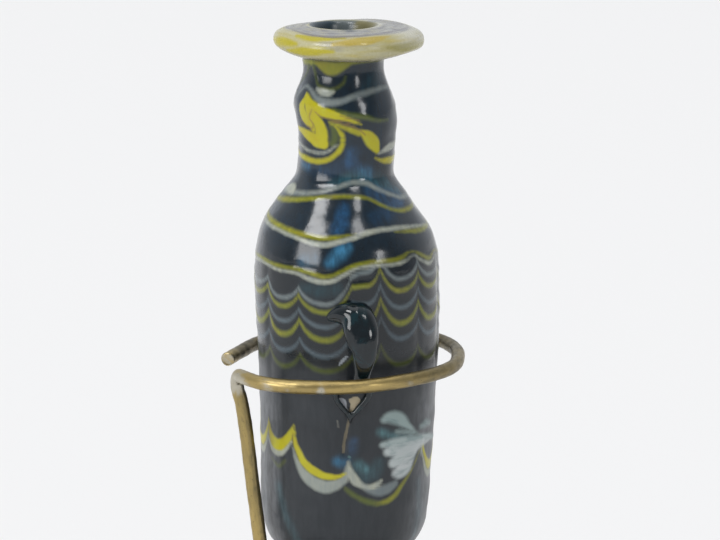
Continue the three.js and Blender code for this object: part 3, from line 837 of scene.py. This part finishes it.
# Strokes on the rim, with the way along the section from its inner lower corner in place of the height
RIM_STREAKS = {
    "yellow_mm": [
        [(-88, 106, 7), (-74, 110, 13), (-62, 114, 16), (-52, 117, 12), (-44, 118, 5)],
        [(-54, 99, 6), (-43, 103, 12), (-34, 106, 15), (-23, 109, 12), (-12, 111, 5)],
        [(-48, 135, 5), (-40, 136, 11), (-29, 138, 16), (-14, 142, 13), (-4, 144, 5)],
        [(95, 122, 6), (118, 114, 13), (140, 118, 10), (158, 128, 5)],
        [(-160, 104, 6), (-138, 108, 13), (-116, 116, 9), (-100, 124, 5)],
    ],
    "ochre_mm": [
        [(-12, 126, 6), (3, 130, 15), (18, 134, 15), (36, 139, 6)],
        [(-176, 134, 5), (-158, 130, 11), (-136, 136, 5)],
    ],
    "olive_streak_mm": [
        [(30, 114, 5), (42, 110, 13), (55, 107, 19), (68, 106, 16), (84, 110, 6)],
        [(128, 96, 5), (150, 92, 12), (172, 98, 5)],
    ],
    "ring_mm": [
        [(-62, 151, 4), (-40, 149, 10), (-17, 149, 13), (4, 151, 13), (22, 155, 12), (48, 162, 11),
            (74, 160, 7), (92, 156, 3)],
        [(-92, 147, 3), (-84, 150, 7), (-70, 156, 5), (-58, 162, 3)],
        [(110, 164, 3), (150, 172, 9), (190, 164, 6), (230, 170, 3)],
    ],
}


def rim():
    """Disk round the mouth, wound unevenly: its edge dips and swells."""
    columns = 240
    middle = (RIM_TOP - RIM_BOTTOM) / 2
    section = curve_through(RIM_SECTION, 84)[:-1]
    way = np.concatenate([[0], np.cumsum(np.linalg.norm(np.diff(section, axis=0), axis=1))])
    angle = np.tile(np.arange(columns) * 360 / columns - 180, (len(section), 1))
    up, out, along = (np.repeat(column[:, None], columns, 1) for column in (*section.T, way))
    a = np.radians(angle)
    edge = fade(out, 6.5, 14)
    dip = waves(a, (0.22, 2, -1.9), (0.06, 5, 2)) - 0.16 * np.cos(3 * a + 1) - 0.2 * (1 - np.cos(a))
    swell = waves(a, (0.07, 2, 1.6), (0.04, 5, 0))
    reach = waves(a, (0.12, 2, 2.4), (0.12, 3, 0.3), (0.05, 9, 0)) - 0.1
    z = RIM_BOTTOM + middle + (up - middle) * (1 + swell * edge) + dip * edge
    shift = -0.8 + 1.05 * edge
    r = out + reach * edge + waves(a, (0.15, 4, 1)) * (1 - edge)
    grid = np.stack([shift + r * np.sin(a), -r * np.cos(a), z], -1)
    faces = [face[::-1] for face in ring_faces(len(section), columns, True)]
    item = make_object("marbled_rim", grid, faces, "flask")

    # where each colour lies, by direction and by way along the section
    hole = 1 - fade(out, 6.1, 7.2)
    left, right = (fade(side * np.sin(a), -0.1, 0.8) for side in (-1, 1))
    under = fade(1 - up, 0, 1.2) * (1 - fade(out, 8.5, 10.5))
    blue_wisps = fade(np.sin(3 * a + 1.2), 0.6, 1) * (1 - fade(out, 8, 9.5))
    fields = {
        "around": a * 12,
        "across": along,
        "white": fade(np.sin(a), 0.45, 0.95) * fade(np.cos(a), -0.5, -0.1) * fade(along, 10, 12.5),
        # painted shade under the rim's outer edge
        "low": (1 - fade(along, 7.5, 10.2)) * fade(out, 8.5, 10),
        "top": fade(along, 14.2, 15.4) * (1 - fade(along, 19.8, 20.6)),
        # painted shade on the mouth's inner wall
        "inside": hole,
        "dark_mm": 2.2 * hole * left - 0.9 + 1.2 * blue_wisps,
        "olive_mm": 2.2 * np.maximum(hole * right, under) - 0.9,
    }
    for name, streaks in RIM_STREAKS.items():
        found = [stroke_depth(streak, angle, along, np.maximum(out, 8)) for streak in streaks]
        fields[name] = np.max(found, axis=0)
    paint(item, fields)
    rim_glass().on(item)
    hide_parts("rim_disk")


# Lug: paths of the strap, of the tongue over its top and of its two tails, as (out from the flask's axis,
# sideways, up from the hoop, half width sideways, half thickness). Ellipsoids are set along them.
LUG_STRAP = [
    (17.6, -0.2, 13.2, 2.2, 1.6), (18.9, -0.2, 13.5, 2.4, 2.1), (20.2, 0, 12.9, 2.5, 2.3),
    (21.2, 0.2, 11.8, 2.7, 2.2), (22, 0.2, 10.6, 2.9, 2), (22.7, 0.2, 9, 2.8, 1.7),
    (23.1, 0.1, 7.3, 2.65, 1.45), (23.1, 0.1, 5.6, 2.4, 1.3), (22.7, 0, 3.9, 2.1, 1.2),
    (21.9, -0.1, 2.2, 1.85, 1.1), (21.1, -0.3, 0.5, 1.8, 1), (20, -0.8, -1, 2, 0.9),
    (18.8, -1.3, -2, 2.5, 0.8),
]
LUG_TONGUE = [
    (17.9, -5.9, 12.6, 0.9, 1), (18.3, -5, 13, 1.3, 1.5), (18.8, -3.9, 13.3, 1.8, 2),
    (19.5, -2.6, 13.3, 2.2, 2.4), (20.2, -1.5, 13.1, 2.5, 2.5), (21.3, -1.2, 11.2, 2.9, 2.2),
    (22.1, -0.9, 9.5, 2.8, 1.7), (22.7, -0.5, 7.6, 2.6, 1.4),
]
LUG_TAILS = [
    [(18.6, -4.4, -1.2, 0.7, 0.8), (18.3, -5.1, -3.2, 0.55, 0.8), (18.2, -4.3, -4.9, 0.5, 0.8),
        (18.1, -3.2, -6.3, 0.5, 0.7), (18, -2.3, -7.5, 0.45, 0.6), (17.8, -2.1, -9, 0.3, 0.4)],
    [(18.6, 1.2, -1.2, 0.8, 0.9), (18.4, 1.6, -3.2, 0.7, 0.9), (18.2, 0.6, -4.9, 0.6, 0.9),
        (18.1, -0.7, -6.3, 0.5, 0.8), (18, -1.7, -7.5, 0.45, 0.6)],
]


def clay(name, spots, body, cell=0.22):
    """One smooth lump from overlapping ellipsoids: (centre, three half axes as rows of a matrix)."""
    shape = bmesh.new()
    for centre, axes in spots:
        ball = bmesh.ops.create_icosphere(shape, subdivisions=3, radius=1)
        for v in ball["verts"]:
            v.co = Vector(centre + np.array(v.co) @ axes) * MM
    mesh = bpy.data.meshes.new(name)
    shape.to_mesh(mesh)
    shape.free()
    item = linked(name, mesh)
    joined = item.modifiers.new("joined", "REMESH")
    joined.mode = "VOXEL"
    joined.voxel_size = cell * MM
    softened = item.modifiers.new("softened", "SMOOTH")
    softened.factor = 0.6
    softened.iterations = 30
    bpy.context.view_layer.update()
    graph = bpy.context.evaluated_depsgraph_get()
    item.data = bpy.data.meshes.new_from_object(item.evaluated_get(graph))
    item.modifiers.clear()
    item.data.shade_smooth()
    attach(item, body)
    return item


def lug(name, node, turn, mirror=1):
    a = math.radians(turn)
    # rows: the directions outwards, sideways (to the right seen from outside) and up
    turned = np.array([[math.sin(a), -math.cos(a), 0], [math.cos(a), math.sin(a), 0], [0, 0, 1]])
    overlap = 1.1
    spots = []
    for path, count in ((LUG_STRAP, 36), *((path, 22) for path in (LUG_TONGUE, *LUG_TAILS))):
        line = curve_through(path, count)
        tangents = np.gradient(line[:, :3], axis=0)
        for (*centre, half_width, half_thick), tangent in zip(line, tangents):
            tangent[1] = 0
            tangent /= np.linalg.norm(tangent)
            normal = np.array([tangent[2], 0, -tangent[0]])
            axes = np.array([[0, half_width, 0], half_thick * normal, overlap * half_thick * tangent])
            centre, axes = (np.array(v) * (1, mirror, 1) @ turned for v in (centre, axes))
            spots.append((centre + (0, 0, HOOP_Z), axes))
    item = clay(name, spots, "flask")
    lug_glass().on(item)
    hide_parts(node)


# ---- the stand

# Silvery places on the front of the hoop: x, half their length, how far the brass is rubbed off
WORN_SPOTS = [(-21.4, 3.2, 1), (-15, 1.6, 0.65), (-11.4, 0.7, 0.4), (-5.2, 1.1, 0.8), (11.5, 1.2, 0.4)]


def wire_rings(path, along, turn, frames):
    """Rings of the drawn wire, a little flattened where it was bent and thinner where it is threaded."""
    tangents, across, up = frames
    bend = np.linalg.norm(np.gradient(tangents, axis=0), axis=1)
    flat = np.clip(bend * 1.2, 0, 0.1)[:, None]
    uneven = 1 + waves(along, (0.012, 0.9, 0), (0.01, 2.3, 1))
    radius = (WIRE_RADIUS * uneven * 0.99)[:, None] + 0.02 * np.sin(3 * turn + along[:, None] * 0.35)
    radius *= 1 - flat * np.cos(turn) ** 2
    thread_length, thread_radius = 9, WIRE_RADIUS * 0.93
    in_leg = np.arange(len(path)) > len(path) // 2
    radius[in_leg & (path[:, 2] < BLOCK_BOTTOM + thread_length)] = thread_radius
    spokes = np.cos(turn)[:, None] * across[:, None] + np.sin(turn)[:, None] * up[:, None]
    return path[:, None] + radius[..., None] * spokes


def wire():
    """Hoop and leg in one length, with a rough cut end."""
    points = [(x, y, HOOP_Z) for x, y in HOOP_PLAN] + [(x, y, HOOP_Z - drop) for x, y, drop in TURN_DOWN]
    points += LEG_POINTS + [(*LEG_FOOT, z) for z in (BLOCK_TOP + LEG_STRAIGHT, BLOCK_TOP, THREAD_END)]
    sides, steps = 28, 520
    path = curve_through(points, steps)
    tangents, across, up = frames_along(path)
    along = np.linspace(0, 1, steps) * np.linalg.norm(np.diff(path, axis=0), axis=1).sum()
    rings = wire_rings(path, along, ways_round(sides), (tangents, across, up))
    start, end = rings[0] - path[0], rings[-1] - path[-1]
    slant = 0.35
    shear = slant * (start @ up[0])[:, None] / WIRE_RADIUS
    cut = [
        path[0] + start * share - tangents[0] * (lift + shear * share)
        for share, lift in ((0.3, 0.16), (0.62, 0.12), (0.88, 0.08), (0.97, 0))
    ]
    tip = [path[-1] + end * share + tangents[-1] * lift for share, lift in ((0.94, 0.08), (0.6, 0.1))]
    grid = np.concatenate([cut, rings, tip])
    item = make_object("brass_wire_hoop", grid, capped_faces(len(grid), sides), "stand")

    row = np.clip(np.arange(len(grid)) - len(cut), 0, steps - 1)
    outward = grid - path[row][:, None]
    sideways, upward = ((outward * way[row][:, None]).sum(-1) for way in (across, up))
    straight = np.stack([np.repeat(along[row][:, None], sides, 1), sideways, upward], -1)
    x, y, z = path[row].T[..., None]
    in_hoop = fade(z, HOOP_Z - 6, HOOP_Z - 2)
    # Darker brass on the hoop's back half, painted shade, and on its right side; on the leg, painted shade on
    # the side turned right
    patina_and_painted_shade = in_hoop * np.maximum(0.75 * fade(y, -4, 4), 0.6 * fade(x, 5, 17))
    turned_right = fade(outward[..., 0] / WIRE_RADIUS, -0.15, 0.35)
    patina_and_painted_shade = patina_and_painted_shade + 0.5 * (1 - in_hoop) * turned_right
    worn = np.max([strength * bell(x, spot, reach) for spot, reach, strength in WORN_SPOTS], axis=0)
    worn = worn * (y < 0) * in_hoop * (0.55 + 0.45 * fade(-outward[..., 2] / WIRE_RADIUS, -0.8, 0.4))
    cut_end = fade(len(cut) + 2 - np.arange(len(grid)), 0, 3)[:, None]
    paint(item, {"straight": straight * MM, "patina_and_painted_shade": patina_and_painted_shade, "worn": np.maximum(worn, 0.6 * cut_end)})
    aged_brass("tarnished_wire", drawn_along="straight").on(item)
    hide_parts("wire_stand")


def block():
    """Wooden base with rounded edges, the leg's hole and the recess for its nut."""
    low, high = (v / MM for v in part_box("base_block"))
    half = high.x
    corner, edge, count = 3, 0.9, 96
    hole, recess, depth = WIRE_RADIUS + 0.3, 5.5, 7
    ways = ways_round(count)
    steps = np.stack([np.cos(ways), np.sin(ways)], 1)

    def outline(inset):
        """How far a rounded square's edge is from the leg, in each direction."""
        near, far = np.zeros(count), np.full(count, 4 * half)
        for _ in range(40):
            middle = (near + far) / 2
            q = np.abs(LEG_FOOT + steps * middle[:, None]) - (half - inset - corner)
            inside = np.hypot(*np.maximum(q, 0).T) + np.minimum(q.max(1), 0) < corner
            near, far = np.where(inside, middle, near), np.where(inside, far, middle)
        return near

    turns = [math.pi / 2 * k / 4 for k in range(5)]
    rounding = [(edge * (1 - math.sin(t)), edge * (1 - math.cos(t))) for t in turns]
    rings = [(recess, low.z), (recess + 0.3, low.z)]
    rings += [(outline(inset), low.z + rise) for inset, rise in rounding]
    rings += [(outline(inset), high.z - drop) for drop, inset in rounding]
    rings += [(hole + 0.5, high.z), (hole + 0.1, high.z - 0.15), (hole, high.z - 0.5)]
    rings += [(hole, low.z + depth), (recess, low.z + depth)]
    grid = [level_ring(LEG_FOOT, reach, z, ways) for reach, z in rings]
    item = make_object("wooden_base", grid, ring_faces(len(rings), count, True), "stand")
    item.data.set_sharp_from_angle(angle=math.radians(40))
    ebonised_wood().on(item)
    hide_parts("base_block")


def turned_ring(name, node, profile, sides=64, hexagon=None):
    """Ring on the leg from a closed profile of (radius, height) points; hexagon is its width across flats."""
    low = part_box(node)[0].z / MM
    ways = ways_round(sides)
    limit = np.inf
    if hexagon:
        limit = hexagon / 2 / np.cos((ways + math.pi / 6) % (math.pi / 3) - math.pi / 6)
    rows = [level_ring(LEG_FOOT, np.minimum(radius, limit), low + height, ways) for radius, height in profile]
    item = make_object(name, rows, ring_faces(len(rows), sides, True), "stand")
    item.data.set_sharp_from_angle(angle=math.radians(35))
    aged_brass(name + "_brass", 0.4).on(item)
    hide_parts(node)


def fittings():
    bore = WIRE_RADIUS + 0.05
    turned_ring("soldered_collar", "leg_collar", [
        (bore, 0), (2.7, 0), (2.95, 0.2), (3, 0.5), (3, 2.9), (2.85, 3.2), (2.3, 3.5), (1.7, 3.75), (bore, 4),
    ])
    turned_ring("flat_washer", "leg_washer", [
        (bore, 0), (3.35, 0), (3.5, 0.12), (3.5, 0.5), (3.35, 0.6), (bore, 0.6),
    ])
    turned_ring("hexagon_nut", "leg_nut", [
        (bore + 0.3, 0), (2.7, 0), (3.17, 0.27), (3.17, 1.93), (2.7, 2.2), (bore + 0.3, 2.2), (bore, 1.9),
        (bore, 0.3),
    ], sides=96, hexagon=5.5)


def pads():
    felt = wool_felt()
    sides = 72
    ways = ways_round(sides)
    # share of the pad's radius, height
    profile = [(0.5, 0), (0.93, 0), (0.985, 0.2), (1, 0.6), (0.99, 1.4), (0.95, 1.78), (0.5, 1.8)]
    for k in range(1, 5):
        node = f"foot_pad_{k}"
        low, high = (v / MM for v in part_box(node))
        centre, radius = (low + high) / 2, (high.x - low.x) / 2 - 0.15
        fuzz = waves(ways, (0.1, 17, k), (0.07, 29, 2 * k))
        rows = [
            level_ring(centre, radius * share + fuzz * (share > 0.9), low.z + height, ways)
            for share, height in profile
        ]
        item = make_object(f"felt_pad_{k}", rows, capped_faces(len(rows), sides), "stand")
        felt.on(item)
        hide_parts(node)


# ---- studio


def aim(item, target):
    item.rotation_euler = (Vector(target) - item.location).to_track_quat("-Z", "Y").to_euler()


def camera():
    """The photograph's view: from the front, a little above, with a long lens."""
    data = bpy.data.cameras.new("camera")
    data.lens, data.sensor_width = 184, 36
    item = linked("camera", data)
    aside, back, above_hoop, aimed_above_hoop = 2.4, 721, 173, 18
    item.location = Vector((aside, -back, HOOP_Z + above_hoop)) * MM
    aim(item, Vector((aside, 0, HOOP_Z + aimed_above_hoop)) * MM)
    data.clip_start, data.clip_end = 0.01, 50
    bpy.context.scene.camera = item


def softbox(name, azimuth, elevation, wide, tall, radiance, shape="RECTANGLE"):
    """Area light in that direction from the flask; azimuth 0 is the camera's side and 90 the right.

    wide and tall are the angles that it fills, seen from the flask."""
    distance = 30
    width, height = (2 * distance * math.tan(math.radians(angle / 2)) for angle in (wide, tall))
    data = bpy.data.lights.new(name, "AREA")
    data.shape = shape
    data.size, data.size_y, data.energy = width, height, 4 * width * height * radiance
    item = linked(name, data)
    a, e = math.radians(azimuth), math.radians(elevation)
    middle = Vector((0, 0, 0.1))
    way = Vector((math.sin(a) * math.cos(e), -math.cos(a) * math.cos(e), math.sin(e)))
    item.location = middle + distance * way
    aim(item, middle)
    item.visible_camera = False


def floor():
    reach = 20
    mesh = bpy.data.meshes.new("floor")
    corners = [(-reach, -reach, 0), (reach, -reach, 0), (reach, reach, 0), (-reach, reach, 0)]
    mesh.from_pydata(corners, [], [(0, 1, 2, 3)])
    item = linked("floor", mesh)
    Surface("pale_floor", IOR=1.3, Base_Color=(0.838, 0.83, 0.824), Roughness=0.9).on(item)


def surroundings():
    """Pale studio: white behind the object and above it, dimmer on the camera's side."""
    camera_side, behind, dim, bright = -0.5, 0.45, 0.22, 0.78
    s = Surface("studio", bpy.data.worlds, "Background", Color=(0.93, 0.96, 1))
    direction = s.node("TexCoord", {}, "Generated")
    depth = s.node("SeparateXYZ", {0: direction}, "Y")
    s.feed(s.shader, {"Strength": s.ramp(depth, camera_side, behind, dim, bright)})
    bpy.context.scene.world = s.data


def studio():
    surroundings()
    floor()
    softbox("left_window_top", -50, 50, 22, 15, 9)
    softbox("left_window", -50, 14, 25, 20, 5)
    softbox("right_lamp", 31, 57, 12, 12, 5, "ELLIPSE")
    softbox("side_lamp", 43, 15, 13, 15, 5, "ELLIPSE")
    softbox("overhead", 0, 90, 44, 44, 0.75)
    bpy.context.scene.view_settings.view_transform = "Standard"


camera()
studio()
flask()
rim()
lug("front_lug", "front_handle", LUG_TURN)
lug("rear_lug", "rear_handle", LUG_TURN + 180, -1)
wire()
block()
fittings()
pads()
